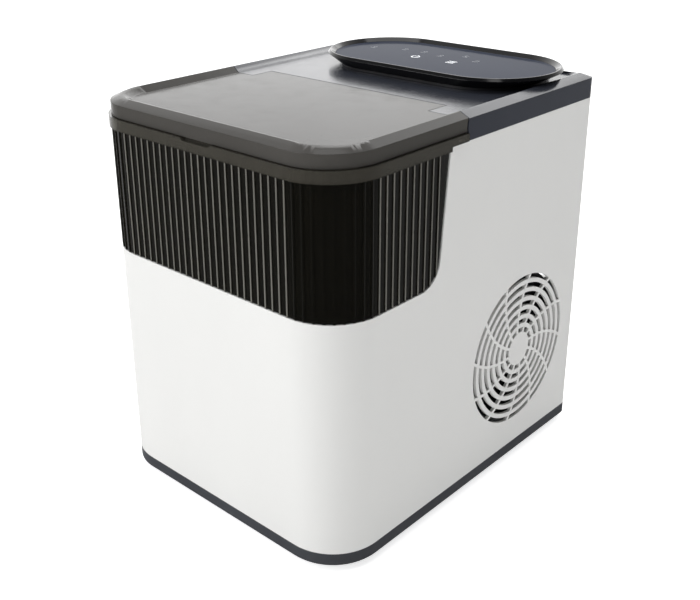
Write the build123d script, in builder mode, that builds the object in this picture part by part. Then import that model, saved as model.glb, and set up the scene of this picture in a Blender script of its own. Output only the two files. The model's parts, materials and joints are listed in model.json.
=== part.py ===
"""Countertop bullet ice maker, modelled as the separate pieces it is assembled from.

Frame: millimetres, +Z up, the front of the machine faces -Y, +X is to the right seen from
the front. The origin is on the surface it stands on, in the middle of the footprint.
"""
import os
from math import cos, radians, sin

from build123d import *

# ---- driving dimensions: casing ----
body_width = 234.0
body_depth = 290.0
front_radius = 39.0
rear_radius = 8.0
wall = 2.5
foot_height = 5.0
base_top = 15.0
shell_top = 277.7
sill_height = 185.3
band_bottom = 275.0
band_proud = 1.5
lid_seam = 283.5
crest_height = 295.6
crest_inset = 8.5
deck_height = 292.0
deck_inset = 17.0
edge_height = 292.6
crest_width = 1.0
dish_rear = 3.0
fit_gap = 0.3

# ---- driving dimensions: window, lid and hinge ----
window_rake = 5.5
window_top_y = -35.9
window_corner = 19.5
rib_pitch = 6.4
rib_height = 0.9
rib_radius = 1.2
notch_width = 28.0
lid_rear = -18.0
lid_inset = 0.6
hinge_half_width = 84.0
hinge_y = -3.0
hinge_z = 287.0
knuckle_radius = 7.4
knuckle_room = 0.4
seam_radius = 15.0
pin_radius = 1.5
running_gap = 0.05

# ---- driving dimensions: side grille and fan ----
fan_y = 61.6
fan_z = 96.9
grille_rings = 7
grille_outer = 58.0
grille_pitch = 7.1
slot_width = 3.7
spoke_count = 12
spoke_width = 2.2
fan_radius = 55.0

# ---- driving dimensions: control panel ----
panel_x = 12.0
panel_y = 92.0
panel_half_length = 100.0
panel_half_depth = 51.5
panel_top = 302.6
panel_edge = 2.2
panel_dish = 2.8
panel_rim = 6.0
plinth_height = 2.4
lens_thickness = 2.0

# ---- driving dimensions: ice making mechanism ----
tray_y = -46.0
tray_z = 245.0
tray_inner = 33.5
tray_wall = 2.0
tray_half_angle = 65.0
tray_half_length = 90.0
tray_pin_radius = 3.0
finger_count = 9
finger_pitch = 19.0
finger_radius = 4.5
finger_tip = 214.0
chute_top = 175.0
pusher_stroke = 50.0
basket_floor = 150.0
basket_top = 256.0
basket_y = -108.0

# ---- driving dimensions: compartments ----
bulkhead_rear = -4.0
bulkhead_front = -7.0
tank_floor = 27.0
liner_top = 190.0
foam_low = 31.0
foam_top = 181.0
compressor_x = -48.0
compressor_y = 78.0
compressor_radius = 48.0
tube_radius = 2.5
hose_radius = 3.5
drain_y = -30.0
drain_z = 36.0
drain_bore = 5.0
drain_cap_radius = 9.0
gland_x = -60.0
gland_z = 60.0
gland_bore = 3.6
condenser_x = 41.0
coil_radius = 3.0
capillary_radius = 1.1
pump_x = -84.0
pump_y = 14.0
pump_z = 40.0

os.makedirs("parts", exist_ok=True)


def save(piece, node):
    """Label a finished piece and write it as its own STEP file."""
    piece.part.label = node
    export_step(piece.part, f"parts/{node}.step")


def trace_body(sketch, inset, depth_cut=0.0):
    """Plan outline of the casing, moved in by inset, in the sketch that is open."""
    width = body_width - 2 * inset
    with Locations((0, -depth_cut / 2)):
        Rectangle(width, body_depth - 2 * inset - depth_cut)
    fillet(sketch.vertices().group_by(Axis.Y)[0], front_radius - inset)
    if depth_cut == 0:
        fillet(sketch.vertices().group_by(Axis.Y)[-1], max(rear_radius - inset, 1.0))


def trace_lid(sketch, inset):
    """Plan outline of the lid: the casing's front outline, cut straight at the lid's rear."""
    front = -body_depth / 2 + inset
    rear = lid_rear - fit_gap
    with Locations((0, (front + rear) / 2)):
        Rectangle(body_width - 2 * inset, rear - front)
    fillet(sketch.vertices().group_by(Axis.Y)[0], front_radius - inset)


def rake_y(z):
    """Y of the window's raked rear edge at height z."""
    return window_top_y + (z - 276.0) * sin(radians(window_rake)) / cos(radians(window_rake))


def trace_window(gap=0.0):
    """Side view of the window opening: a raked rear edge and a rounded lower corner."""
    top = 300.0
    low = sill_height + gap
    with BuildLine() as profile:
        FilletPolyline(
            (-200.0, top), (rake_y(top) - gap, top), (rake_y(low) - gap, low), (-200.0, low),
            radius=[4.0, window_corner - gap],
        )
        Line((-200.0, low), (-200.0, top))
    make_face(profile.edges())


def trace_stadium(half_length, half_depth):
    """Racetrack outline of the control panel in the sketch that is open."""
    SlotOverall(2 * half_length, 2 * half_depth)


def trace_dish(sketch, inset):
    """Plan outline of the sunken deck, which runs on to just inside the rear edge."""
    front = -body_depth / 2 + inset
    rear = body_depth / 2 - dish_rear
    with Locations((0, (front + rear) / 2)):
        Rectangle(body_width - 2 * inset, rear - front)
    fillet(sketch.vertices().group_by(Axis.Y)[0], front_radius - inset)
    fillet(sketch.vertices().group_by(Axis.Y)[-1], rear_radius)


def top_block(low, inset):
    """Solid top of the machine: upright sides, a soft slope to the crest, a sunken deck."""
    with BuildPart() as block:
        with BuildSketch(Plane.XY.offset(low)) as foot:
            trace_body(foot, inset)
        extrude(amount=edge_height - low)
        with BuildSketch(Plane.XY.offset(edge_height)) as edge:
            trace_body(edge, inset)
        with BuildSketch(Plane.XY.offset(crest_height)) as crest:
            trace_body(crest, crest_inset)
        loft()
        with BuildSketch(Plane.XY.offset(deck_height)) as deck:
            trace_dish(deck, deck_inset)
        with BuildSketch(Plane.XY.offset(crest_height)) as mouth:
            trace_dish(mouth, crest_inset + crest_width)
        loft(mode=Mode.SUBTRACT)
        with BuildSketch(Plane.XY.offset(low)) as hollow:
            trace_body(hollow, wall + inset)
        extrude(amount=deck_height - wall - low, mode=Mode.SUBTRACT)
    return block.part


def hinge_disc(radius, half_length):
    """Cylinder about the lid's hinge axis, added to or cut from the part that is open."""
    with BuildPart() as disc:
        with BuildSketch(Plane.YZ):
            with Locations((hinge_y, hinge_z)):
                Circle(radius)
        extrude(amount=half_length, both=True)
    return disc.part


def box_part(low, high):
    """Plain box between two corners, used as a cutter."""
    with BuildPart() as box:
        with BuildSketch(Plane.XY.offset(low[2])):
            with Locations(((low[0] + high[0]) / 2, (low[1] + high[1]) / 2)):
                Rectangle(high[0] - low[0], high[1] - low[1])
        extrude(amount=high[2] - low[2])
    return box.part


def make_base_tray():
    with BuildPart() as base_tray:
        with BuildSketch(Plane.XY.offset(foot_height)) as outer:
            trace_body(outer, 0)
        extrude(amount=base_top - foot_height)
        chamfer(base_tray.faces().sort_by(Axis.Z)[0].edges(), 1.2)
        with BuildSketch(Plane.XY.offset(foot_height + 3)) as inner:
            trace_body(inner, 4)
        extrude(amount=base_top, mode=Mode.SUBTRACT)
        with BuildSketch(Plane.XY.offset(foot_height + 3)):
            with Locations((compressor_x, compressor_y)):
                with GridLocations(84, 84, 2, 2):
                    Circle(7)
        extrude(amount=6)
        with BuildSketch(Plane.XY.offset(foot_height + 3)):
            with Locations((0, -75)):
                with GridLocations(140, 80, 2, 2):
                    Circle(9)
        extrude(amount=tank_floor - 3 - foot_height - 3)
        with BuildSketch(Plane.XY.offset(foot_height)):
            with Locations((50, 60)):
                with GridLocations(0, 9, 1, 9):
                    SlotOverall(60, 4)
        extrude(amount=4, mode=Mode.SUBTRACT)
    save(base_tray, "base_tray")


def make_feet():
    with BuildPart() as rubber_feet:
        with Locations((0, 0, 0)):
            with GridLocations(170, 226, 2, 2):
                Cylinder(10, foot_height, align=(Align.CENTER, Align.CENTER, Align.MIN))
        chamfer(rubber_feet.faces().group_by(Axis.Z)[0].edges(), 1)
    save(rubber_feet, "rubber_feet")


def spoke_point(radius, index):
    """Point on a grille spoke's centre line: a gentle swirl towards the hub."""
    angle = radians(360 / spoke_count * index - 8.8 + 0.474 * (grille_outer - radius))
    return (fan_y + radius * cos(angle), fan_z + radius * sin(angle))


def trace_grille():
    """Rings of arc slots, cut through by the swirled spokes."""
    for ring in range(grille_rings):
        radius = grille_outer - ring * grille_pitch
        with Locations((fan_y, fan_z)):
            Circle(radius + slot_width / 2)
            Circle(radius - slot_width / 2, mode=Mode.SUBTRACT)
    for index in range(spoke_count):
        with BuildLine() as spoke:
            ThreePointArc(spoke_point(8, index), spoke_point(35, index), spoke_point(63, index))
        trace(spoke.edges(), line_width=spoke_width, mode=Mode.SUBTRACT)


def make_outer_shell():
    with BuildPart() as outer_shell:
        with BuildSketch(Plane.XY.offset(base_top)) as outer:
            trace_body(outer, 0)
        extrude(amount=shell_top - base_top)
        with BuildSketch(Plane.XY.offset(base_top)) as inner:
            trace_body(inner, wall)
        extrude(amount=shell_top - base_top, mode=Mode.SUBTRACT)
        with BuildSketch(Plane.YZ):
            trace_window()
        extrude(amount=body_width, both=True, mode=Mode.SUBTRACT)
        with BuildSketch(Plane.XZ.offset(-body_depth / 2)):
            with Locations((0, 147)):
                RectangleRounded(body_width - 28, 236, 6)
        extrude(amount=wall + 1, mode=Mode.SUBTRACT)
        with BuildSketch(Plane.YZ.offset(body_width / 2 + 1)):
            trace_grille()
        extrude(amount=-(wall + 2), mode=Mode.SUBTRACT)
        with BuildSketch(Plane.YZ.offset(-body_width / 2 - 1)):
            with Locations((drain_y, drain_z)):
                Circle(drain_cap_radius + fit_gap)
        extrude(amount=wall + 2, mode=Mode.SUBTRACT)
    save(outer_shell, "outer_shell")


def make_rear_panel():
    with BuildPart() as rear_panel:
        with BuildSketch(Plane.XZ.offset(-body_depth / 2)):
            with Locations((0, 147)):
                RectangleRounded(body_width - 28 - 2 * fit_gap, 236 - 2 * fit_gap, 5.7)
        extrude(amount=wall)
        with BuildSketch(Plane.XZ.offset(-body_depth / 2 + wall)):
            with Locations((0, 147)):
                RectangleRounded(body_width - 18, 246, 9)
        extrude(amount=1.5)
        with BuildSketch(Plane.XZ.offset(-body_depth / 2)):
            with Locations((46, 98)):
                with GridLocations(0, 8.5, 1, 15):
                    SlotOverall(88, 4)
            with Locations((-42, 196)):
                with GridLocations(0, 8.5, 1, 7):
                    SlotOverall(88, 4)
            with Locations((gland_x, gland_z)):
                Circle(8 + fit_gap)
            with Locations((0, 147)):
                with GridLocations(190, 220, 2, 2):
                    Circle(1.6)
        extrude(amount=wall + 2, mode=Mode.SUBTRACT)
    save(rear_panel, "rear_panel")


def make_rear_screws():
    with BuildPart() as rear_panel_screws:
        with BuildSketch(Plane.XZ.offset(-body_depth / 2 - band_proud)):
            with Locations((0, 147)):
                with GridLocations(190, 220, 2, 2):
                    Circle(3)
        extrude(amount=band_proud)
        with BuildSketch(Plane.XZ.offset(-body_depth / 2)):
            with Locations((0, 147)):
                with GridLocations(190, 220, 2, 2):
                    Circle(1.5)
        extrude(amount=8)
        with BuildSketch(Plane.XZ.offset(-body_depth / 2 - band_proud)):
            with Locations((0, 147)):
                with GridLocations(190, 220, 2, 2):
                    Rectangle(3.6, 0.8)
                    Rectangle(0.8, 3.6)
        extrude(amount=0.7, mode=Mode.SUBTRACT)
    save(rear_panel_screws, "rear_panel_screws")


def rib_places(inset):
    """Places of the window's ribs, evenly spaced along its outline and inset from it."""
    line = body_width / 2 - front_radius
    front = -body_depth / 2
    radius = front_radius - inset
    arc = front_radius * radians(90)
    straight = line + arc + (rake_y(sill_height) - (front + front_radius))
    count = int(straight / rib_pitch)
    places = []
    for index in range(-count, count + 1):
        run = abs(index) * rib_pitch
        side = 1 if index >= 0 else -1
        if run <= line:
            places.append((side * run, front + inset))
        elif run <= line + arc:
            turn = (run - line) / front_radius
            places.append((side * (line + radius * sin(turn)),
                           front + front_radius - radius * cos(turn)))
        else:
            places.append((side * (body_width / 2 - inset), front + front_radius + run - line - arc))
    return places


def make_front_window():
    with BuildPart() as front_window:
        with BuildSketch(Plane.XY.offset(sill_height)) as outer:
            trace_body(outer, rib_height)
            with Locations(*rib_places(rib_radius)):
                Circle(rib_radius)
        extrude(amount=band_bottom - sill_height)
        with BuildSketch(Plane.YZ):
            trace_window(fit_gap)
        extrude(amount=body_width, both=True, mode=Mode.INTERSECT)
        with BuildSketch(Plane.XY.offset(band_bottom)) as band:
            trace_lid(band, -band_proud)
        extrude(amount=lid_seam - fit_gap - band_bottom)
        with BuildSketch(Plane.YZ):
            with Locations((window_top_y - fit_gap, shell_top + fit_gap)):
                Rectangle(40, 40, align=(Align.MIN, Align.MAX))
        extrude(amount=body_width, both=True, mode=Mode.SUBTRACT)
        with BuildSketch(Plane.XY.offset(sill_height)) as inner:
            trace_body(inner, wall + rib_height)
        extrude(amount=shell_top, mode=Mode.SUBTRACT)
        with BuildSketch(Plane.XZ.offset(body_depth / 2 - 2)):
            with Locations((0, lid_seam)):
                SlotOverall(notch_width, 4)
        extrude(amount=10, mode=Mode.SUBTRACT)
    save(front_window, "front_window")


def make_lid():
    block = top_block(lid_seam, lid_inset)
    rear_half = box_part((-200, hinge_y, 200), (200, 200, 400))
    seam_disc = hinge_disc(seam_radius + fit_gap, 200)
    tongue_room = box_part((-hinge_half_width, -60, 200), (hinge_half_width, hinge_y, 400))
    tongue = block & seam_disc & tongue_room
    below_deck = box_part((-200, -60, 200), (200, 60, deck_height))
    knuckle = hinge_disc(knuckle_radius, hinge_half_width) & below_deck
    bore = hinge_disc(pin_radius + running_gap, 200)
    with BuildPart() as lid:
        add(block)
        add(rear_half, mode=Mode.SUBTRACT)
        add(seam_disc, mode=Mode.SUBTRACT)
        add(tongue)
        add(knuckle)
        add(bore, mode=Mode.SUBTRACT)
    save(lid, "lid")


def make_top_cover():
    block = top_block(shell_top, 0)
    front_half = box_part((-200, -200, 200), (200, hinge_y, 400))
    ear_room = box_part((-200, -60, 200), (200, hinge_y, 400))
    middle = box_part((-hinge_half_width - fit_gap, -60, 200), (hinge_half_width + fit_gap, hinge_y, 400))
    ears = (block & hinge_disc(seam_radius, 200) & ear_room) - middle
    shelf = box_part((-hinge_half_width - fit_gap, -15, shell_top), (hinge_half_width + fit_gap, 8, 286))
    below_deck = box_part((-200, -60, 200), (200, 60, deck_height))
    lug = hinge_disc(knuckle_radius, hinge_half_width + 10) - hinge_disc(20, hinge_half_width + fit_gap)
    lug = lug & below_deck
    pocket = hinge_disc(knuckle_radius + knuckle_room, hinge_half_width + fit_gap)
    lug_tie = box_part((-hinge_half_width - 10, hinge_y - 2, 284), (hinge_half_width + 10, 8, 291))
    knuckle_gap = hinge_half_width + fit_gap
    lug_tie = lug_tie - box_part((-knuckle_gap, -60, 200), (knuckle_gap, 60, 400))
    pin_hole = hinge_disc(pin_radius, hinge_half_width + 9)
    with BuildPart() as top_cover:
        add(block)
        add(front_half, mode=Mode.SUBTRACT)
        add(ears)
        add(shelf)
        add(lug)
        add(lug_tie)
        add(pocket, mode=Mode.SUBTRACT)
        add(pin_hole, mode=Mode.SUBTRACT)
        with BuildSketch(Plane.XY.offset(deck_height)):
            with Locations((panel_x, panel_y)):
                SlotOverall(24, 8)
        extrude(amount=-6, mode=Mode.SUBTRACT)
    save(top_cover, "top_cover")


def make_hinge_pins():
    with BuildPart() as hinge_pins:
        for side in (-1, 1):
            with BuildSketch(Plane.YZ.offset(side * (hinge_half_width - 8))):
                with Locations((hinge_y, hinge_z)):
                    Circle(pin_radius)
            extrude(amount=side * 17)
    save(hinge_pins, "hinge_pins")


def trace_panel(ends, sides):
    """Racetrack outline of the panel, drawn in by ends along its length and by sides across it."""
    with Locations((panel_x, panel_y)):
        trace_stadium(panel_half_length - ends, panel_half_depth - sides)


def make_panel():
    foot = deck_height + plinth_height
    lens_seat = panel_top - panel_dish
    with BuildPart() as panel_plinth:
        with BuildSketch(Plane.XY.offset(deck_height)):
            trace_panel(13, 5.5)
        extrude(amount=plinth_height)
        with BuildSketch(Plane.XY.offset(deck_height)):
            trace_panel(26, 16)
        extrude(amount=plinth_height, mode=Mode.SUBTRACT)
    save(panel_plinth, "panel_plinth")

    with BuildPart() as control_bezel:
        with BuildSketch(Plane.XY.offset(foot)):
            trace_panel(11, 3.5)
        with BuildSketch(Plane.XY.offset(panel_top - panel_edge)):
            trace_panel(0, 0)
        loft()
        with BuildSketch(Plane.XY.offset(panel_top - panel_edge)):
            trace_panel(0, 0)
        with BuildSketch(Plane.XY.offset(panel_top)):
            trace_panel(1.6, 1.6)
        loft()
        with BuildSketch(Plane.XY.offset(lens_seat)):
            trace_panel(panel_rim, panel_rim)
        with BuildSketch(Plane.XY.offset(panel_top)):
            trace_panel(2.4, 2.4)
        loft(mode=Mode.SUBTRACT)
        with BuildSketch(Plane.XY.offset(lens_seat)):
            trace_panel(panel_rim, panel_rim)
        extrude(amount=-lens_thickness, mode=Mode.SUBTRACT)
        with BuildSketch(Plane.XY.offset(foot)):
            trace_panel(20, 12)
        extrude(amount=panel_top, mode=Mode.SUBTRACT)
    save(control_bezel, "control_bezel")

    with BuildPart() as touch_lens:
        with BuildSketch(Plane.XY.offset(lens_seat - lens_thickness)):
            trace_panel(panel_rim + 0.1, panel_rim + 0.1)
        extrude(amount=lens_thickness)
    save(touch_lens, "touch_lens")

    with BuildPart() as display_board:
        with BuildSketch(Plane.XY.offset(foot)):
            trace_panel(21, 13)
        extrude(amount=1.6)
        with BuildSketch(Plane.XY.offset(foot + 1.6)):
            with Locations((panel_x, panel_y)):
                with GridLocations(20, 0, 7, 1):
                    Rectangle(5, 5)
            with Locations((panel_x, panel_y - 20)):
                with GridLocations(36, 0, 3, 1):
                    Circle(5)
        extrude(amount=1.4)
        with BuildSketch(Plane.XY.offset(foot)):
            with Locations((panel_x, panel_y)):
                with GridLocations(120, 40, 2, 2):
                    Circle(1.6)
        extrude(amount=4, mode=Mode.SUBTRACT)
    save(display_board, "display_board")


def tube(points, radius, bend):
    """Round tube along straight runs joined by tangent arcs."""
    with BuildPart() as piece:
        with BuildLine() as path:
            FilletPolyline(*points, radius=bend)
        with BuildSketch(Plane(origin=path.line @ 0, z_dir=path.line % 0)):
            Circle(radius)
        sweep(path=path.line)
    return piece


def make_bulkhead():
    with BuildPart() as bulkhead:
        with BuildSketch(Plane.XZ.offset(-bulkhead_rear)):
            with Locations((0, (15.5 + shell_top - 1) / 2)):
                Rectangle(body_width - 2 * wall - 1, shell_top - 1 - 15.5)
            with Locations((107, 257), (100, 257)):
                Circle(tube_radius + 0.5, mode=Mode.SUBTRACT)
            with Locations((102, 270), (pump_x, pump_z)):
                Circle(hose_radius + 1.5, mode=Mode.SUBTRACT)
        extrude(amount=bulkhead_rear - bulkhead_front)
    save(bulkhead, "bulkhead")


def trace_tub(sketch, inset):
    """Plan outline of the ice chamber's tub."""
    width = 212 - 2 * inset
    front = -137 + inset
    rear = bulkhead_front - 0.5 - inset
    with Locations((0, (front + rear) / 2)):
        Rectangle(width, rear - front)
    fillet(sketch.vertices().group_by(Axis.Y)[0], 30 - inset)
    fillet(sketch.vertices().group_by(Axis.Y)[-1], 6)


def make_chamber_liner():
    low = tank_floor - 3
    with BuildPart() as chamber_liner:
        with BuildSketch(Plane.XY.offset(low)) as tub:
            trace_tub(tub, 0)
        extrude(amount=liner_top - low)
        with BuildSketch(Plane.XY.offset(liner_top - 2.5)) as flange:
            trace_body(flange, wall + rib_height + fit_gap, body_depth / 2 - bulkhead_front)
        extrude(amount=2.5)
        with BuildSketch(Plane.XY.offset(tank_floor)) as inside:
            trace_tub(inside, 2.5)
        extrude(amount=liner_top, mode=Mode.SUBTRACT)
        with BuildSketch(Plane.XY.offset(basket_floor - 4)) as ledge:
            trace_tub(ledge, 1)
            with Locations((0, -75)):
                Rectangle(162, 140, mode=Mode.SUBTRACT)
            Rectangle(240, 170, mode=Mode.SUBTRACT)
        extrude(amount=4 - fit_gap)
        with BuildSketch(Plane.XY.offset(chute_top - 6)):
            with Locations((-101, -46), (101, -46)):
                Rectangle(9, 50)
        extrude(amount=3.5)
        with BuildSketch(Plane.XZ):
            with Locations((pump_x, pump_z)):
                Circle(hose_radius)
        extrude(amount=20, mode=Mode.SUBTRACT)
        with BuildSketch(Plane.YZ.offset(-90)):
            with Locations((drain_y, drain_z)):
                Circle(drain_bore)
        extrude(amount=-30, mode=Mode.SUBTRACT)
    save(chamber_liner, "chamber_liner")


def make_insulation():
    with BuildPart() as foam_insulation:
        with BuildSketch(Plane.XY.offset(foam_low)) as outer:
            trace_body(outer, wall + 0.5, body_depth / 2 - bulkhead_front)
        extrude(amount=foam_top - foam_low)
        with BuildSketch(Plane.XY.offset(foam_low)) as inner:
            trace_tub(inner, -0.4)
            with Locations((0, bulkhead_front)):
                Rectangle(200, 40)
        extrude(amount=foam_top - foam_low, mode=Mode.SUBTRACT)
        with BuildSketch(Plane.YZ.offset(-100)):
            with Locations((drain_y, drain_z)):
                Circle(drain_cap_radius + 1)
        extrude(amount=-30, mode=Mode.SUBTRACT)
    save(foam_insulation, "foam_insulation")


def make_basket():
    with BuildPart() as ice_basket:
        for inset, mode in ((0, Mode.ADD), (2, Mode.SUBTRACT)):
            with BuildSketch(Plane.XY.offset(basket_floor + inset)):
                with Locations((0, basket_y)):
                    RectangleRounded(176 - 2 * inset, 46 - 2 * inset, 12 - inset)
            with BuildSketch(Plane.XY.offset(basket_top)):
                with Locations((0, basket_y - 1)):
                    RectangleRounded(192 - 2 * inset, 50 - 2 * inset, 14 - inset)
            loft(mode=mode)
        with BuildSketch(Plane.XY.offset(basket_floor)):
            with Locations((0, basket_y)):
                with GridLocations(12, 10, 12, 3):
                    SlotOverall(8, 4)
        extrude(amount=3, mode=Mode.SUBTRACT)
        with BuildSketch(Plane.XZ.offset(60)):
            with Locations((0, chute_top + 50)):
                Rectangle(166, 100)
        extrude(amount=40, mode=Mode.SUBTRACT)
        with BuildSketch(Plane.XZ.offset(100)):
            with Locations((0, 205)):
                with GridLocations(11, 24, 14, 3):
                    SlotOverall(16, 5, rotation=90)
        extrude(amount=60, mode=Mode.SUBTRACT)
        with BuildSketch(Plane.XY.offset(basket_top - 2.5)):
            with Locations((0, basket_y - 1)):
                RectangleRounded(196, 54, 16)
                RectangleRounded(191, 49, 13.5, mode=Mode.SUBTRACT)
            with Locations((0, -80)):
                Rectangle(166, 12, mode=Mode.SUBTRACT)
        extrude(amount=2.5)
    save(ice_basket, "ice_basket")


def make_chute():
    with BuildPart() as ice_chute:
        with BuildSketch(Plane.XY.offset(chute_top - 2.5)):
            with Locations((0, -46.5)):
                Rectangle(198, 71)
            with Locations((0, -46)):
                with GridLocations(12, 0, 13, 1):
                    SlotOverall(44, 3.4, rotation=90, mode=Mode.SUBTRACT)
        extrude(amount=2.5)
        with BuildSketch(Plane.XY.offset(chute_top - 2.5)):
            with Locations((-97.5, -46), (97.5, -46)):
                Rectangle(3, 70)
        extrude(amount=22)
        with BuildSketch(Plane.XY.offset(chute_top - 12)):
            with Locations((0, -80)):
                Rectangle(198, 3)
        extrude(amount=10)
    save(ice_chute, "ice_chute")


def make_pusher():
    with BuildPart() as ice_pusher:
        with BuildSketch(Plane.XY.offset(chute_top + 0.4)):
            with Locations((0, -79)):
                Rectangle(186, 3)
            with Locations((0, -72)):
                with GridLocations(12, 0, 13, 1):
                    Rectangle(2, 14)
        extrude(amount=24)
        with BuildSketch(Plane.YZ):
            with Locations((-64, chute_top + 30)):
                Circle(16)
        extrude(amount=120, both=True, mode=Mode.SUBTRACT)
    save(ice_pusher, "ice_pusher")


def tray_point(radius, angle):
    """Point about the tray's pivot, at an angle from straight down, in Y and Z."""
    return (tray_y + radius * sin(radians(angle)), tray_z - radius * cos(radians(angle)))


def trace_trough(inner, outer):
    """Arc section of the water tray about its pivot."""
    half = tray_half_angle
    with BuildLine() as arc:
        ThreePointArc(tray_point(outer, -half), tray_point(outer, 0), tray_point(outer, half))
        Line(tray_point(outer, half), tray_point(inner, half))
        if inner > 0:
            ThreePointArc(tray_point(inner, half), tray_point(inner, 0), tray_point(inner, -half))
        Line(tray_point(inner, -half), tray_point(outer, -half))
    make_face(arc.edges())


def make_water_tray():
    with BuildPart() as water_tray:
        with BuildSketch(Plane.YZ):
            trace_trough(tray_inner, tray_inner + tray_wall)
        extrude(amount=tray_half_length, both=True)
        for side in (-1, 1):
            with BuildSketch(Plane.YZ.offset(side * (tray_half_length - 2))):
                trace_trough(0, tray_inner + 1)
                with Locations((tray_y, tray_z)):
                    Circle(6)
            extrude(amount=side * 2)
            with BuildSketch(Plane.YZ.offset(side * (tray_half_length - 1))):
                with Locations((tray_y, tray_z)):
                    Circle(tray_pin_radius)
            extrude(amount=side * 11)
    save(water_tray, "water_tray")


def make_mechanism_frame():
    hole = tray_pin_radius + running_gap
    with BuildPart() as mechanism_frame:
        for side in (-1, 1):
            with BuildSketch(Plane.YZ.offset(side * 92)):
                with Locations(((-56 + bulkhead_front) / 2, 254)):
                    Rectangle(56 + bulkhead_front, 36)
                with Locations((tray_y, tray_z)):
                    Circle(hole, mode=Mode.SUBTRACT)
            extrude(amount=side * 4)
        with BuildSketch(Plane.YZ):
            with Locations((tray_y, 264)):
                Rectangle(14, 3)
        extrude(amount=93, both=True)
        with BuildSketch(Plane.YZ.offset(-95)):
            with Locations((tray_y, tray_z)):
                with GridLocations(16, 0, 2, 1):
                    Circle(1.9)
        extrude(amount=-6.5)
        with BuildSketch(Plane.YZ.offset(80)):
            with Locations((-50, 257), (-42, 257)):
                Circle(tube_radius + 0.3)
        extrude(amount=30, mode=Mode.SUBTRACT)
    save(mechanism_frame, "mechanism_frame")


def make_evaporator():
    with BuildPart() as evaporator:
        with BuildSketch(Plane.YZ):
            with Locations((tray_y, 257)):
                RectangleRounded(15, 11, 3)
        extrude(amount=85, both=True)
        with BuildSketch(Plane.XY.offset(finger_tip + finger_radius)):
            with Locations((0, tray_y)):
                with GridLocations(finger_pitch, 0, finger_count, 1):
                    Circle(finger_radius)
        extrude(amount=252 - finger_tip - finger_radius)
        with Locations((0, tray_y, finger_tip + finger_radius)):
            with GridLocations(finger_pitch, 0, finger_count, 1):
                Sphere(finger_radius)
    save(evaporator, "evaporator")


def make_pipes():
    suction_pipe = tube(
        [(85, -50, 257), (107, -50, 257), (107, 20, 257), (16, 20, 257), (16, 20, 176),
         (-20, 60, 176), (-20, 60, 142)], tube_radius, 7)
    save(suction_pipe, "suction_pipe")
    evaporator_feed = tube(
        [(85, -42, 257), (100, -42, 257), (100, 10, 257), (100, 10, 214)], tube_radius, 3.6)
    save(evaporator_feed, "evaporator_feed")
    hot_gas_pipe = tube(
        [(76, 10, 206), (-8, 10, 206), (-8, 96, 206), (-40, 96, 186), (-40, 96, 146)],
        tube_radius, 7)
    save(hot_gas_pipe, "hot_gas_pipe")
    liquid_pipe = tube(
        [(condenser_x, 120.5, 47), (condenser_x, 132, 47), (condenser_x, 132, 166)],
        tube_radius, 6)
    save(liquid_pipe, "liquid_pipe")
    discharge_pipe = tube(
        [(condenser_x, 4, 167), (condenser_x, 4, 182), (-30, 4, 182), (-62, 60, 182),
         (-62, 60, 146)], tube_radius, 7)
    save(discharge_pipe, "discharge_pipe")
    capillary_tube = tube(
        [(condenser_x, 132, 234), (condenser_x, 132, 250), (104, 112, 250), (104, 30, 250),
         (101, 13.5, 236)], capillary_radius, 6)
    save(capillary_tube, "capillary_tube")


def make_filter_drier():
    with BuildPart() as filter_drier:
        with BuildSketch(Plane.XZ.offset(-132)):
            with BuildLine():
                Polyline((condenser_x, 166), (condenser_x + 2.5, 166), (condenser_x + 8, 174),
                         (condenser_x + 8, 226), (condenser_x + 2, 234), (condenser_x, 234),
                         close=True)
            make_face()
        revolve(axis=Axis((condenser_x, 132, 0), (0, 0, 1)))
    save(filter_drier, "filter_drier")


def make_gas_valve():
    with BuildPart() as gas_valve:
        with BuildSketch(Plane.YZ.offset(76)):
            with Locations((10, 206)):
                Circle(7)
        extrude(amount=30)
        with BuildSketch(Plane.XY.offset(206)):
            with Locations((100, 10)):
                Circle(5)
        extrude(amount=8)
        with BuildSketch(Plane.XZ.offset(-3.2)):
            with Locations((87, 206)):
                RectangleRounded(20, 24, 3)
        extrude(amount=-18)
    save(gas_valve, "gas_valve")


def coil_rows():
    """Heights of the condenser's passes."""
    return [47 + 24 * row for row in range(5)]


def make_condenser():
    rows = coil_rows()
    near, far = 120.5, 4.0
    points = []
    for z in rows:
        points += [(condenser_x, near, z), (condenser_x, far, z)]
        near, far = far, near
    points.append((condenser_x, near, rows[-1] + 24))
    condenser_coil = tube(points, coil_radius, 9)
    save(condenser_coil, "condenser_coil")

    with BuildPart() as condenser_fins:
        with BuildSketch(Plane.XZ.offset(-18)):
            with Locations((condenser_x, 98)):
                Rectangle(36, 116)
            with Locations(*[(condenser_x, z) for z in rows]):
                Circle(coil_radius + running_gap, mode=Mode.SUBTRACT)
        extrude(amount=-0.5)
        fin = condenser_fins.part
        for index in range(1, 22):
            add(fin.moved(Location((0, 4.2 * index, 0))))
    save(condenser_fins, "condenser_fins")

    with BuildPart() as condenser_frame:
        for y in (13.2, 109.5):
            with BuildSketch(Plane.XZ.offset(-y)):
                with Locations((condenser_x - 0.5, 83)):
                    Rectangle(38, 150)
                with Locations(*[(condenser_x, z) for z in rows]):
                    Circle(coil_radius + running_gap, mode=Mode.SUBTRACT)
            extrude(amount=-1.5)
        with BuildSketch(Plane.XY.offset(156.2)):
            with Locations((condenser_x - 0.5, 62.1)):
                Rectangle(38, 97.8)
        extrude(amount=1.5)
    save(condenser_frame, "condenser_frame")


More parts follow.
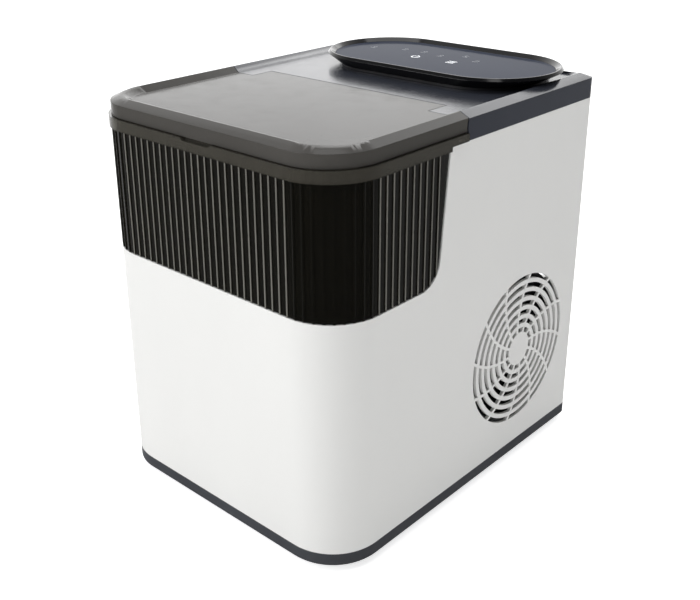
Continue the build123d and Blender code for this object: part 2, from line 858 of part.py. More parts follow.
def make_compressor():
    radius = compressor_radius
    with BuildPart() as compressor:
        with BuildSketch(Plane.XY.offset(32)):
            with Locations((compressor_x, compressor_y)):
                Circle(radius - 8)
        with BuildSketch(Plane.XY.offset(46)):
            with Locations((compressor_x, compressor_y)):
                Circle(radius)
        loft()
        with BuildSketch(Plane.XY.offset(46)):
            with Locations((compressor_x, compressor_y)):
                Circle(radius)
        extrude(amount=76)
        with BuildSketch(Plane.XY.offset(84)):
            with Locations((compressor_x, compressor_y)):
                Circle(radius + 2)
        extrude(amount=5)
        with BuildSketch(Plane.XY.offset(122)):
            with Locations((compressor_x, compressor_y)):
                Circle(radius)
        with BuildSketch(Plane.XY.offset(146)):
            with Locations((compressor_x, compressor_y)):
                Circle(radius - 22)
        loft()
        fillet(compressor.edges().filter_by(GeomType.CIRCLE).group_by(Axis.Z)[-1], 8)
        with BuildSketch(Plane.XY.offset(29)):
            with Locations((compressor_x, compressor_y)):
                RectangleRounded(100, 100, 10)
                with GridLocations(84, 84, 2, 2):
                    Circle(5, mode=Mode.SUBTRACT)
        extrude(amount=3)
    save(compressor, "compressor")

    with BuildPart() as compressor_grommets:
        with Locations((compressor_x, compressor_y, 14)):
            with GridLocations(84, 84, 2, 2):
                Cylinder(7, 15, align=(Align.CENTER, Align.CENTER, Align.MIN))
                Cylinder(4.9, 19, align=(Align.CENTER, Align.CENTER, Align.MIN))
                Cylinder(7, 2, align=(Align.CENTER, Align.CENTER, Align.MIN), mode=Mode.ADD)
    save(compressor_grommets, "compressor_grommets")

    with BuildPart() as relay_cover:
        with BuildSketch(Plane.YZ.offset(compressor_x - radius - 12)):
            with Locations((compressor_y, 100)):
                RectangleRounded(34, 40, 5)
        extrude(amount=20)
        with BuildSketch(Plane.XY.offset(60)):
            with Locations((compressor_x, compressor_y)):
                Circle(radius + 0.3)
        extrude(amount=24, mode=Mode.SUBTRACT)
        with BuildSketch(Plane.XY.offset(83.5)):
            with Locations((compressor_x, compressor_y)):
                Circle(radius + 2.3)
        extrude(amount=6, mode=Mode.SUBTRACT)
        with BuildSketch(Plane.XY.offset(89)):
            with Locations((compressor_x, compressor_y)):
                Circle(radius + 0.3)
        extrude(amount=40, mode=Mode.SUBTRACT)
    save(relay_cover, "relay_cover")


def make_fan():
    with BuildPart() as fan_shroud:
        with BuildSketch(Plane.YZ.offset(60)):
            with Locations((fan_y, 98)):
                RectangleRounded(124, 120, 4)
            with Locations((fan_y, fan_z)):
                Circle(fan_radius + 2.5, mode=Mode.SUBTRACT)
        extrude(amount=2.5)
        with BuildSketch(Plane.YZ.offset(60)):
            with Locations((fan_y, fan_z)):
                Circle(fan_radius + 5)
                Circle(fan_radius + 2.5, mode=Mode.SUBTRACT)
        extrude(amount=50)
        with BuildSketch(Plane.YZ.offset(62.5)):
            with Locations((fan_y, fan_z)):
                Circle(20)
                with PolarLocations(38, 3, start_angle=90):
                    Rectangle(42, 6)
        extrude(amount=3)
    save(fan_shroud, "fan_shroud")

    with BuildPart() as fan_motor:
        with BuildSketch(Plane.YZ.offset(65.5)):
            with Locations((fan_y, fan_z)):
                Circle(18)
        extrude(amount=20)
        fillet(fan_motor.edges().group_by(Axis.X)[-1], 2)
        with BuildSketch(Plane.YZ.offset(85.5)):
            with Locations((fan_y, fan_z)):
                Circle(2)
        extrude(amount=14)
    save(fan_motor, "fan_motor")

    with BuildPart() as fan_rotor:
        with BuildSketch(Plane.YZ.offset(87.5)):
            with Locations((fan_y, fan_z)):
                Circle(16)
        extrude(amount=18)
        with BuildSketch(Plane.YZ.offset(87)):
            with Locations((fan_y, fan_z)):
                Circle(2 + running_gap)
        extrude(amount=13, mode=Mode.SUBTRACT)
        for blade in range(7):
            turn = 360 / 7 * blade
            axis_out = Vector(0, cos(radians(turn)), sin(radians(turn)))
            foot = Plane(origin=Vector(96.5, fan_y, fan_z) + axis_out * 14, x_dir=(1, 0, 0), z_dir=axis_out)
            with BuildSketch(foot):
                Rectangle(16, 2, rotation=40)
            tip = Plane(origin=Vector(96.5, fan_y, fan_z) + axis_out * (fan_radius - 1),
                        x_dir=(1, 0, 0), z_dir=axis_out)
            with BuildSketch(tip):
                Rectangle(24, 1.4, rotation=62)
            loft()
    save(fan_rotor, "fan_rotor")


def make_electrics():
    with BuildPart() as power_board:
        with BuildSketch(Plane.XZ.offset(-132)):
            with Locations((-54, 215)):
                Rectangle(90, 60)
                with GridLocations(82, 52, 2, 2):
                    Circle(1.7, mode=Mode.SUBTRACT)
        extrude(amount=1.6)
        with BuildSketch(Plane.XZ.offset(-130.4)):
            with Locations((-78, 222)):
                Rectangle(28, 30)
        extrude(amount=18)
        with BuildSketch(Plane.XZ.offset(-130.4)):
            with Locations((-48, 206)):
                with GridLocations(0, 20, 1, 2):
                    Rectangle(16, 14)
            with Locations((-24, 222)):
                Circle(8)
        extrude(amount=14)
    save(power_board, "power_board")

    with BuildPart() as board_bracket:
        with BuildSketch(Plane.XZ.offset(-141)):
            with Locations((-54, 215)):
                Rectangle(96, 66)
                Rectangle(70, 40, mode=Mode.SUBTRACT)
        extrude(amount=2)
        with BuildSketch(Plane.XZ.offset(-141)):
            with Locations((-54, 215)):
                with GridLocations(82, 52, 2, 2):
                    Circle(3.5)
        extrude(amount=9)
        with BuildSketch(Plane.XZ.offset(-132)):
            with Locations((-54, 215)):
                with GridLocations(82, 52, 2, 2):
                    Circle(1.6)
        extrude(amount=1.6)
    save(board_bracket, "board_bracket")

    with BuildPart() as tray_motor:
        with BuildSketch(Plane.YZ.offset(-101.5)):
            with Locations((tray_y, tray_z)):
                Circle(14)
                Rectangle(38, 8)
        extrude(amount=-9)
    save(tray_motor, "tray_motor")

    with BuildPart() as ice_sensors:
        for side in (-1, 1):
            with BuildSketch(Plane.XZ.offset(70)):
                with Locations((side * 108.4, 262)):
                    RectangleRounded(10, 14, 2)
            extrude(amount=8)
    save(ice_sensors, "ice_sensors")

    with BuildPart() as water_probes:
        with BuildSketch(Plane.XY.offset(60)):
            with Locations((60, -14)):
                with GridLocations(14, 0, 3, 1):
                    Circle(1.5)
        extrude(amount=100)
        with BuildSketch(Plane.XY.offset(156)):
            with Locations((60, -14)):
                RectangleRounded(40, 8, 2)
        extrude(amount=7)
    save(water_probes, "water_probes")


def make_water_path():
    with BuildPart() as water_pump:
        with BuildSketch(Plane.XY.offset(26)):
            with Locations((pump_x, pump_y)):
                Circle(14)
        extrude(amount=34)
        with BuildSketch(Plane.XY.offset(14)):
            with Locations((pump_x, pump_y)):
                Circle(15)
        extrude(amount=12)
        fillet(water_pump.edges().group_by(Axis.Z)[-1], 3)
    save(water_pump, "water_pump")

    with BuildPart() as pump_hose:
        with BuildSketch(Plane.XZ.offset(10)):
            with Locations((pump_x, pump_z)):
                Circle(hose_radius)
                Circle(hose_radius - 1, mode=Mode.SUBTRACT)
        extrude(amount=-10)
    save(pump_hose, "pump_hose")

    fill_hose = tube(
        [(pump_x, pump_y, 60.2), (pump_x, pump_y, 150), (-100, 14, 175), (-100, 14, 270),
         (102, 14, 270), (102, -62, 268), (78, -62, 268)], hose_radius, 8)
    save(fill_hose, "fill_hose")


def make_drain():
    with BuildPart() as drain_spout:
        with BuildSketch(Plane.YZ.offset(-106.2)):
            with Locations((drain_y, drain_z)):
                Circle(8)
        extrude(amount=-7)
        with BuildSketch(Plane.YZ.offset(-106.2)):
            with Locations((drain_y, drain_z)):
                Circle(drain_bore)
        extrude(amount=-7, mode=Mode.SUBTRACT)
    save(drain_spout, "drain_spout")

    with BuildPart() as drain_plug:
        with BuildSketch(Plane.YZ.offset(-113.6)):
            with Locations((drain_y, drain_z)):
                Circle(drain_cap_radius)
        extrude(amount=-(body_width / 2 + band_proud - 113.6))
        chamfer(drain_plug.faces().sort_by(Axis.X)[0].edges(), 0.8)
        with BuildSketch(Plane.YZ.offset(-body_width / 2 - band_proud)):
            with Locations((drain_y, drain_z)):
                Rectangle(14, 2.4)
        extrude(amount=2.2, mode=Mode.SUBTRACT)
        with BuildSketch(Plane.YZ.offset(-104)):
            with Locations((drain_y, drain_z)):
                Circle(drain_bore - fit_gap)
        extrude(amount=-9.7)
    save(drain_plug, "drain_plug")


def make_cord_gland():
    rear = body_depth / 2
    with BuildPart() as cord_gland:
        with BuildSketch(Plane.XZ.offset(-rear - band_proud)):
            with Locations((gland_x, gland_z)):
                Circle(11)
        extrude(amount=band_proud)
        with BuildSketch(Plane.XZ.offset(-rear)):
            with Locations((gland_x, gland_z)):
                Circle(8)
        extrude(amount=13)
        fillet(cord_gland.edges().group_by(Axis.Y)[-1], 0.8)
        with BuildSketch(Plane.XZ.offset(-rear - 5)):
            with Locations((gland_x, gland_z)):
                Circle(gland_bore)
        extrude(amount=30, mode=Mode.SUBTRACT)
    save(cord_gland, "cord_gland")


if __name__ == "__main__":
    make_base_tray()
    make_feet()
    make_outer_shell()
    make_rear_panel()
    make_rear_screws()
    make_front_window()
    make_lid()
    make_top_cover()
    make_hinge_pins()
    make_panel()
    make_bulkhead()
    make_chamber_liner()
    make_insulation()
    make_basket()
    make_chute()
    make_pusher()
    make_water_tray()
    make_mechanism_frame()
    make_evaporator()
    make_pipes()
    make_filter_drier()
    make_gas_valve()
    make_condenser()
    make_compressor()
    make_fan()
    make_electrics()
    make_water_path()
    make_drain()
    make_cord_gland()
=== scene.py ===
"""Looks of a countertop ice maker: materials, rounded edges, panel marks, lights and camera.

Everything is in metres, in the row frame: +Z up, -Y the front, +X to the right.
"""
import json
from math import cos, pi, radians, sin

import bmesh
import bpy
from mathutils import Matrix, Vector


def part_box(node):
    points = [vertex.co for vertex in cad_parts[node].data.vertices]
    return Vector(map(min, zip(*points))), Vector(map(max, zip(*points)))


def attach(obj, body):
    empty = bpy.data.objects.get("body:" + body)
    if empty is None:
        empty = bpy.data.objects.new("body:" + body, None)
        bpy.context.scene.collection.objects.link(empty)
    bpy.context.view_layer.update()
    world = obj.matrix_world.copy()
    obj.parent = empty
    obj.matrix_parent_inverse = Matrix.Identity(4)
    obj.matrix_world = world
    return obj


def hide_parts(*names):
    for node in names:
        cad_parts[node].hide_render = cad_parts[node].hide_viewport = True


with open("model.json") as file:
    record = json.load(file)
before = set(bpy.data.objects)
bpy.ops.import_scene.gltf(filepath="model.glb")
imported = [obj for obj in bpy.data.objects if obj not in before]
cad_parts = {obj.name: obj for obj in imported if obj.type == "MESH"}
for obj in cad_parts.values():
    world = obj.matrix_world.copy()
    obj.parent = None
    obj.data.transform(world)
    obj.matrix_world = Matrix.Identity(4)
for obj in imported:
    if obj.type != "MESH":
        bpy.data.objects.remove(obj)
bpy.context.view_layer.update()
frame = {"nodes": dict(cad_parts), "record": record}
MM = 0.001

# ---- sizes ----
MERGE_DISTANCE = 0.002 * MM
FLAT_ANGLE = radians(0.4)
SHARP_ANGLE = radians(32)
BAND_DEPTH = 8.5 * MM
CREST_REACH = 0.16 * MM
INK_THICKNESS = 0.06 * MM
INK_LIFT = 0.02 * MM
MARK_SIZE = 3.6 * MM
MARK_LINE = 0.8 * MM

# places on the lens, in mm from its middle
POWER_PLACE = (-21.5, -4)
CHOICE_PLACE = (12.7, -3.5)
LAMP_PLACES = ((-72, 7), (-46, 15.5), (-27, 16), (-8, 12), (9, 22.5), (26, 12))

# the colour sockets of a Mix node
MIX_FIRST = 6
MIX_SECOND = 7
MIX_RESULT = 2

# ---- colours, linear ----
WHITE = (0.80, 0.80, 0.785)
CASING_GREY = (0.040, 0.044, 0.057)
BASE_GREY = (0.052, 0.056, 0.066)
BLACK = (0.006, 0.006, 0.007)
LENS_BLUE = (0.050, 0.058, 0.085)
SMOKE = (0.010, 0.009, 0.006)
BAND_SMOKE = (0.105, 0.098, 0.080)
LID_SMOKE = (0.080, 0.076, 0.070)
# painted highlight: the paler colour of the window's rib crests stands in for the light the ribs catch
RIB_PAINTED_HIGHLIGHT = (0.150, 0.145, 0.128)
COPPER = (0.80, 0.42, 0.27)
STEEL = (0.56, 0.56, 0.57)
LINER = (0.72, 0.74, 0.75)
BOARD_GREEN = (0.012, 0.11, 0.045)
FOAM = (0.62, 0.54, 0.33)
RUBBER = (0.020, 0.020, 0.020)
HOSE = (0.62, 0.63, 0.60)


# ---- materials ----
class Nodes:
    """A material's node tree, with short calls for the nodes used here."""

    def __init__(self, name):
        self.material = bpy.data.materials.new(name)
        self.material.use_nodes = True
        self.tree = self.material.node_tree
        self.shader = self.tree.nodes["Principled BSDF"]
        self.place = self.tree.nodes.new("ShaderNodeTexCoord").outputs["Object"]

    def link(self, source, target):
        self.tree.links.new(source, target)

    def set(self, **values):
        for name, value in values.items():
            socket = name.replace("_", " ").title().replace("Ior", "IOR")
            self.shader.inputs[socket].default_value = value

    def stretched(self, scale):
        node = self.tree.nodes.new("ShaderNodeMapping")
        node.inputs["Scale"].default_value = scale
        self.link(self.place, node.inputs["Vector"])
        return node.outputs["Vector"]

    def noise(self, scale, detail=3.0, vector=None):
        node = self.tree.nodes.new("ShaderNodeTexNoise")
        node.inputs["Scale"].default_value = scale
        node.inputs["Detail"].default_value = detail
        self.link(vector or self.place, node.inputs["Vector"])
        return node.outputs["Fac"]

    def voronoi(self, scale):
        node = self.tree.nodes.new("ShaderNodeTexVoronoi")
        node.inputs["Scale"].default_value = scale
        self.link(self.place, node.inputs["Vector"])
        return node.outputs["Distance"]

    def ramp(self, factor, low, high, start=0.3, end=0.7):
        node = self.tree.nodes.new("ShaderNodeValToRGB")
        node.color_ramp.elements[0].position = start
        node.color_ramp.elements[1].position = end
        node.color_ramp.elements[0].color = (*low, 1)
        node.color_ramp.elements[1].color = (*high, 1)
        self.link(factor, node.inputs["Fac"])
        return node.outputs["Color"]

    def spread(self, factor, low, high):
        node = self.tree.nodes.new("ShaderNodeMapRange")
        node.inputs["From Min"].default_value = 0.3
        node.inputs["From Max"].default_value = 0.7
        node.inputs["To Min"].default_value = low
        node.inputs["To Max"].default_value = high
        self.link(factor, node.inputs["Value"])
        return node.outputs["Result"]

    def bump(self, height, strength, distance, under=None):
        node = self.tree.nodes.new("ShaderNodeBump")
        node.inputs["Strength"].default_value = strength
        node.inputs["Distance"].default_value = distance
        self.link(height, node.inputs["Height"])
        if under:
            self.link(under, node.inputs["Normal"])
        return node.outputs["Normal"]


def tint(colour, factor):
    return tuple(min(1.0, channel * factor) for channel in colour)


def moulded(name, colour, roughness, grain=2600.0, depth=0.00004, vary=0.04, **sockets):
    """Injection-moulded plastic: spark texture, faint flow marks and uneven gloss."""
    made = Nodes(name)
    flow = made.noise(14.0, 4.0, made.stretched((1.0, 1.0, 0.35)))
    made.link(made.ramp(flow, tint(colour, 1 - vary), tint(colour, 1 + vary)),
              made.shader.inputs["Base Color"])
    made.link(made.spread(made.noise(55.0), roughness * 0.86, roughness * 1.14),
              made.shader.inputs["Roughness"])
    ripple = made.bump(made.noise(22.0, 2.0), 0.10, 0.00025)
    made.link(made.bump(made.noise(grain, 2.0), 0.35, depth, ripple), made.shader.inputs["Normal"])
    made.set(**sockets)
    return made.material


def smoked(name, colour, roughness, transmission, ripple_depth, ior=1.49, gloss=0.5, band=None):
    """Smoked see-through plastic with a slight moulding ripple and a dusty gloss.

    gloss is the specular level. band is the paler colour of a top edge, and the height above
    which it starts.
    """
    made = Nodes(name)
    cloud = made.ramp(made.noise(9.0, 3.0), tint(colour, 0.90), tint(colour, 1.10))
    if band:
        height = made.tree.nodes.new("ShaderNodeSeparateXYZ")
        made.link(made.place, height.inputs["Vector"])
        above = made.tree.nodes.new("ShaderNodeMapRange")
        above.inputs["From Min"].default_value = band[1]
        above.inputs["From Max"].default_value = band[1] + MM
        made.link(height.outputs["Z"], above.inputs["Value"])
        mixed = made.tree.nodes.new("ShaderNodeMix")
        mixed.data_type = "RGBA"
        made.link(above.outputs["Result"], mixed.inputs["Factor"])
        made.link(cloud, mixed.inputs[MIX_FIRST])
        mixed.inputs[MIX_SECOND].default_value = (*band[0], 1)
        cloud = mixed.outputs[MIX_RESULT]
    made.link(cloud, made.shader.inputs["Base Color"])
    made.link(made.spread(made.noise(70.0), roughness * 0.7, roughness * 1.5),
              made.shader.inputs["Roughness"])
    ripple = made.bump(made.noise(30.0, 2.0), 0.16, ripple_depth)
    made.link(made.bump(made.noise(1800.0), 0.10, 0.00003, ripple), made.shader.inputs["Normal"])
    made.set(transmission_weight=transmission, ior=ior, specular_ior_level=gloss)
    return made.material


def metal(name, colour, roughness, along=(1.0, 1.0, 30.0), tarnish=0.12):
    """Drawn or rolled metal, with fine lines across one direction and tarnished patches."""
    made = Nodes(name)
    patch = made.noise(60.0, 5.0)
    made.link(made.ramp(patch, tint(colour, 1 - tarnish), tint(colour, 1 + tarnish * 0.5)),
              made.shader.inputs["Base Color"])
    lines = made.noise(400.0, 2.0, made.stretched(along))
    made.link(made.spread(lines, roughness * 0.7, roughness * 1.4), made.shader.inputs["Roughness"])
    made.link(made.bump(lines, 0.15, 0.00005), made.shader.inputs["Normal"])
    made.set(metallic=1.0)
    return made.material


def rubbery(name, colour, roughness=0.7):
    """Moulded rubber: dull, with a powdery bloom."""
    made = Nodes(name)
    made.link(made.ramp(made.noise(120.0, 5.0), colour, tint(colour, 1.9)),
              made.shader.inputs["Base Color"])
    made.link(made.spread(made.noise(240.0), roughness * 0.9, roughness * 1.15),
              made.shader.inputs["Roughness"])
    made.link(made.bump(made.noise(1500.0), 0.4, 0.00008), made.shader.inputs["Normal"])
    return made.material


def circuit(name):
    """Lacquered circuit board with faint copper traces under the lacquer."""
    made = Nodes(name)
    made.link(made.ramp(made.voronoi(260.0), tint(BOARD_GREEN, 1.9), BOARD_GREEN, 0.05, 0.16),
              made.shader.inputs["Base Color"])
    made.link(made.spread(made.noise(90.0), 0.25, 0.42), made.shader.inputs["Roughness"])
    made.link(made.bump(made.voronoi(260.0), 0.3, 0.0001), made.shader.inputs["Normal"])
    return made.material


def foamed(name):
    """Blown foam with open cells."""
    made = Nodes(name)
    cells = made.voronoi(420.0)
    made.link(made.ramp(cells, tint(FOAM, 0.72), FOAM, 0.1, 0.6), made.shader.inputs["Base Color"])
    made.link(made.spread(made.noise(80.0), 0.85, 0.98), made.shader.inputs["Roughness"])
    made.link(made.bump(cells, 0.6, 0.0006), made.shader.inputs["Normal"])
    return made.material


def glowing(name, colour, strength):
    """A printed mark lit from behind, a little uneven as light through ink is."""
    made = Nodes(name)
    ink = made.ramp(made.noise(900.0), tint(colour, 0.8), colour)
    made.link(ink, made.shader.inputs["Base Color"])
    made.link(ink, made.shader.inputs["Emission Color"])
    made.link(made.spread(made.noise(300.0), 0.3, 0.5), made.shader.inputs["Roughness"])
    made.set(emission_strength=strength)
    return made.material


white_plastic = moulded("white_plastic", WHITE, 0.34, vary=0.012, coat_weight=0.15, coat_roughness=0.2)
base_plastic = moulded("base_plastic", BASE_GREY, 0.5, grain=1800.0, depth=0.00008, vary=0.1)
cover_plastic = moulded("cover_plastic", CASING_GREY, 0.18, vary=0.08)
black_gloss = moulded("black_gloss", BLACK, 0.12, depth=0.00001, vary=0.15)
black_matt = moulded("black_matt", tint(BLACK, 2.4), 0.5, grain=1500.0, depth=0.00008, vary=0.15)
lens_gloss = moulded("lens_gloss", LENS_BLUE, 0.10, depth=0.000006, vary=0.05, specular_ior_level=0.004)
band_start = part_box("front_window")[1].z - BAND_DEPTH
window_smoke = smoked("window_smoke", SMOKE, 0.04, 0.60, 0.000004, 1.7, 0.5, (BAND_SMOKE, band_start))
# painted highlight material for the window's rib crests
rib_painted_highlight = moulded("rib_painted_highlight", RIB_PAINTED_HIGHLIGHT, 0.3, vary=0.15)
lid_smoke = smoked("lid_smoke", LID_SMOKE, 0.13, 0.12, 0.00001, gloss=0.1)
liner_plastic = moulded("liner_plastic", LINER, 0.3, vary=0.03)
tray_plastic = moulded("tray_plastic", tint(LINER, 0.85), 0.35, vary=0.05, transmission_weight=0.15)
basket_plastic = moulded("basket_plastic", tint(LINER, 0.8), 0.32, vary=0.05, transmission_weight=0.25)
enamel = moulded("enamel", tint(BLACK, 1.6), 0.28, grain=700.0, depth=0.00012, vary=0.2)
motor_paint = moulded("motor_paint", (0.10, 0.10, 0.11), 0.4, vary=0.1)
hose_skin = moulded("hose_skin", HOSE, 0.4, vary=0.06, transmission_weight=0.3)
copper = metal("copper", COPPER, 0.28, (1.0, 1.0, 8.0), 0.25)
plated = metal("plated", (0.72, 0.69, 0.64), 0.2)
aluminium = metal("aluminium", (0.78, 0.79, 0.80), 0.34, (30.0, 1.0, 1.0))
steel = metal("steel", STEEL, 0.3, (8.0, 8.0, 8.0))
rubber = rubbery("rubber", RUBBER)
board = circuit("circuit_board")
foam = foamed("blown_foam")
bright_mark = glowing("bright_mark", (0.9, 0.92, 0.95), 1.1)
faint_mark = glowing("faint_mark", (0.30, 0.32, 0.36), 0.12)

FINISHES = {
    "outer_shell": white_plastic, "rear_panel": white_plastic, "base_tray": base_plastic,
    "rubber_feet": rubber, "rear_panel_screws": steel, "front_window": window_smoke,
    "lid": lid_smoke, "top_cover": cover_plastic, "hinge_pins": steel,
    "panel_plinth": black_matt, "control_bezel": black_gloss, "touch_lens": lens_gloss,
    "display_board": board, "power_board": board, "bulkhead": liner_plastic,
    "chamber_liner": liner_plastic, "foam_insulation": foam, "ice_basket": basket_plastic,
    "ice_chute": tray_plastic, "ice_pusher": tray_plastic, "water_tray": tray_plastic,
    "mechanism_frame": liner_plastic, "board_bracket": liner_plastic, "evaporator": plated,
    "suction_pipe": copper, "evaporator_feed": copper, "hot_gas_pipe": copper,
    "liquid_pipe": copper, "discharge_pipe": copper, "capillary_tube": copper,
    "filter_drier": copper, "condenser_coil": copper, "condenser_fins": aluminium,
    "condenser_frame": aluminium, "compressor": enamel, "relay_cover": black_matt,
    "fan_shroud": black_matt, "fan_rotor": black_matt, "gas_valve": black_matt,
    "tray_motor": black_matt, "ice_sensors": black_matt, "water_probes": steel,
    "fan_motor": motor_paint, "compressor_grommets": rubber, "cord_gland": rubber,
    "drain_plug": rubber, "fill_hose": hose_skin, "pump_hose": hose_skin,
    "water_pump": liner_plastic, "drain_spout": liner_plastic,
}


def paint(piece, material):
    piece.data.materials.clear()
    piece.data.materials.append(material)


# ---- rounded edges on the moulded pieces ----
def body_of(node):
    bodies = frame["record"]["behaviour"]["bodies"]
    return next(name for name, members in bodies.items() if node in members)


def rounded(node, width):
    """A copy of a CAD node with its sharp edges rounded, which stands for it."""
    mesh = bpy.data.meshes.new(node + "_moulded")
    shape = bmesh.new()
    shape.from_mesh(frame["nodes"][node].data)
    bmesh.ops.remove_doubles(shape, verts=shape.verts, dist=MERGE_DISTANCE)
    bmesh.ops.dissolve_limit(shape, angle_limit=FLAT_ANGLE, verts=shape.verts, edges=shape.edges)
    shape.to_mesh(mesh)
    shape.free()
    mesh.polygons.foreach_set("use_smooth", [True] * len(mesh.polygons))
    mesh.set_sharp_from_angle(angle=SHARP_ANGLE)
    piece = bpy.data.objects.new(node + "_moulded", mesh)
    bpy.context.scene.collection.objects.link(piece)
    bevel = piece.modifiers.new("rounding", "BEVEL")
    bevel.width = width
    bevel.segments = 3
    bevel.limit_method = "ANGLE"
    bevel.angle_limit = SHARP_ANGLE
    bevel.harden_normals = False
    level = piece.modifiers.new("flat faces", "WEIGHTED_NORMAL")
    level.keep_sharp = True
    paint(piece, FINISHES[node])
    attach(piece, body_of(node))
    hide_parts(node)
    return piece


def paint_crest_highlights(piece):
    """Paint the crests of the window's straight runs of ribs paler: a painted highlight, in place of the
    light the ribs would catch.
    """
    low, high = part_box("outer_shell")
    piece.data.materials.append(rib_painted_highlight)
    for face in piece.data.polygons:
        x, y, z = face.center
        outermost = y < low.y + CREST_REACH or x < low.x + CREST_REACH or x > high.x - CREST_REACH
        # the outermost rib faces of the straight runs, below the top band, get the painted highlight
        if outermost and z < band_start - MM and abs(face.normal.z) < 0.5:
            face.material_index = 1


ROUNDED = {
    "outer_shell": 0.7, "rear_panel": 0.5, "base_tray": 0.6, "front_window": 0.25, "lid": 0.6,
    "top_cover": 0.6, "control_bezel": 0.35, "touch_lens": 0.2, "panel_plinth": 0.3,
    "rubber_feet": 0.6, "drain_plug": 0.3,
}


def dress_nodes():
    for node, piece in frame["nodes"].items():
        if node in ROUNDED:
            piece = rounded(node, ROUNDED[node] * MM)
            if node == "front_window":
                paint_crest_highlights(piece)
        else:
            paint(piece, FINISHES[node])
            piece.data.polygons.foreach_set("use_smooth", [True] * len(piece.data.polygons))


# ---- marks on the touch lens ----
def flat_piece(name, rings, height, material):
    """A thin raised mark made of closed outlines, each a list of points."""
    shape = bmesh.new()
    for ring in rings:
        shape.faces.new([shape.verts.new((x, y, height)) for x, y in ring])
    mesh = bpy.data.meshes.new(name)
    shape.to_mesh(mesh)
    shape.free()
    piece = bpy.data.objects.new(name, mesh)
    bpy.context.scene.collection.objects.link(piece)
    depth = piece.modifiers.new("ink", "SOLIDIFY")
    depth.thickness = INK_THICKNESS
    depth.offset = 1.0
    paint(piece, material)
    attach(piece, body_of("touch_lens"))
    return piece


def arc_band(centre, radius, width, start, end, steps=18):
    """Outline of a band along an arc."""
    turns = [start + (end - start) * step / steps for step in range(steps + 1)]
    outer = [(centre[0] + radius * cos(turn), centre[1] + radius * sin(turn)) for turn in turns]
    inner = [(centre[0] + (radius - width) * cos(turn), centre[1] + (radius - width) * sin(turn))
             for turn in reversed(turns)]
    return outer + inner


def bar(centre, width, depth):
    x, y = centre
    return [(x - width / 2, y - depth / 2), (x + width / 2, y - depth / 2),
            (x + width / 2, y + depth / 2), (x - width / 2, y + depth / 2)]


def add_panel_marks():
    low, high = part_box("touch_lens")
    middle = (low + high) / 2
    top = high.z + INK_LIFT
    power = middle + Vector((*POWER_PLACE, 0)) * MM
    choice = middle + Vector((*CHOICE_PLACE, 0)) * MM
    flat_piece("mark_power", [
        arc_band((power.x, power.y), MARK_SIZE, MARK_LINE, radians(120), radians(420)),
        bar((power.x, power.y + 0.8 * MARK_SIZE), MARK_LINE, MARK_SIZE)], top, bright_mark)
    flat_piece("mark_choice", [
        bar((choice.x, choice.y + MARK_SIZE * step), 2 * MARK_SIZE, MARK_LINE)
        for step in (-0.8, 0, 0.8)], top, bright_mark)
    for index, (x, y) in enumerate(LAMP_PLACES):
        spot = middle + Vector((x, y, 0)) * MM
        flat_piece(f"mark_lamp_{index + 1}", [
            arc_band((spot.x, spot.y), 1.6 * MM, 0.5 * MM, 0, 1.9 * pi),
            bar((spot.x, spot.y - 3.4 * MM), 5 * MM, 0.6 * MM)], top, faint_mark)


# ---- stage, lights and camera ----
BRIGHT_SIDE = (-0.66, 0.73, 0.16)
CAMERA_PLACE = (0.46952, -0.52739, 0.45409)
CAMERA_TURN = (radians(67.998), radians(0.543), radians(42.819))


def add_floor():
    bpy.ops.mesh.primitive_plane_add(size=12)
    floor = bpy.context.object
    floor.name = "floor"
    made = Nodes("floor_paper")
    made.link(made.ramp(made.noise(3.0), (0.93, 0.93, 0.93), (0.95, 0.95, 0.95)),
              made.shader.inputs["Base Color"])
    made.set(roughness=0.9, emission_color=(1, 1, 1, 1), emission_strength=0.75)
    paint(floor, made.material)
    floor.visible_glossy = False


def add_light(name, place, target, size, power, colour=(1, 1, 1)):
    data = bpy.data.lights.new(name, "AREA")
    data.shape = "RECTANGLE"
    data.size, data.size_y = size
    data.energy = power
    data.color = colour
    light = bpy.data.objects.new(name, data)
    light.location = place
    light.rotation_euler = (Vector(target) - Vector(place)).to_track_quat("-Z", "Y").to_euler()
    bpy.context.scene.collection.objects.link(light)
    return light


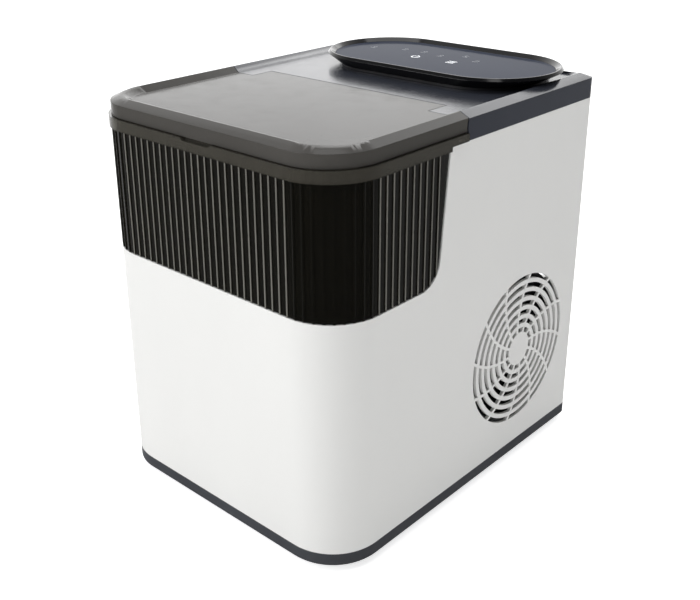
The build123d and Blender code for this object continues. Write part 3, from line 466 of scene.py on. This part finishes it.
def add_lights():
    world = bpy.data.worlds.new("studio")
    world.use_nodes = True
    background = world.node_tree.nodes["Background"]
    background.inputs["Color"].default_value = (1, 1, 1, 1)
    tree = world.node_tree
    toward = tree.nodes.new("ShaderNodeVectorMath")
    toward.operation = "DOT_PRODUCT"
    toward.inputs[1].default_value = BRIGHT_SIDE
    tree.links.new(tree.nodes.new("ShaderNodeTexCoord").outputs["Generated"], toward.inputs[0])
    share = tree.nodes.new("ShaderNodeMapRange")
    share.inputs["From Min"].default_value = -1.0
    tree.links.new(toward.outputs["Value"], share.inputs["Value"])
    fall = tree.nodes.new("ShaderNodeMath")
    fall.operation = "POWER"
    fall.inputs[1].default_value = 5.0
    tree.links.new(share.outputs["Result"], fall.inputs[0])
    room = tree.nodes.new("ShaderNodeMapRange")
    room.inputs["To Min"].default_value = 0.03
    room.inputs["To Max"].default_value = 2.0
    tree.links.new(fall.outputs["Value"], room.inputs["Value"])
    seen = tree.nodes.new("ShaderNodeMix")
    tree.links.new(tree.nodes.new("ShaderNodeLightPath").outputs["Is Camera Ray"], seen.inputs["Factor"])
    tree.links.new(room.outputs["Result"], seen.inputs["A"])
    seen.inputs["B"].default_value = 1.0
    tree.links.new(seen.outputs["Result"], background.inputs["Strength"])
    bpy.context.scene.world = world
    middle = (0, 0, 0.15)
    add_light("key_softbox", (-0.9, -2.0, 1.3), middle, (1.6, 1.4), 27)
    add_light("top_softbox", (0.0, 0.0, 2.4), middle, (2.2, 2.2), 27)
    add_light("rear_softbox", (-0.9, 1.7, 1.5), middle, (1.2, 1.0), 4)


def add_camera():
    data = bpy.data.cameras.new("camera")
    data.lens = 50.93
    data.sensor_width = 36
    data.shift_x = 0.0307
    data.shift_y = -0.0774
    data.clip_start = 0.02
    camera = bpy.data.objects.new("camera", data)
    camera.location = CAMERA_PLACE
    camera.rotation_euler = CAMERA_TURN
    bpy.context.scene.collection.objects.link(camera)
    bpy.context.scene.camera = camera


dress_nodes()
add_panel_marks()
add_floor()
add_lights()
add_camera()
bpy.context.scene.view_settings.view_transform = "Standard"
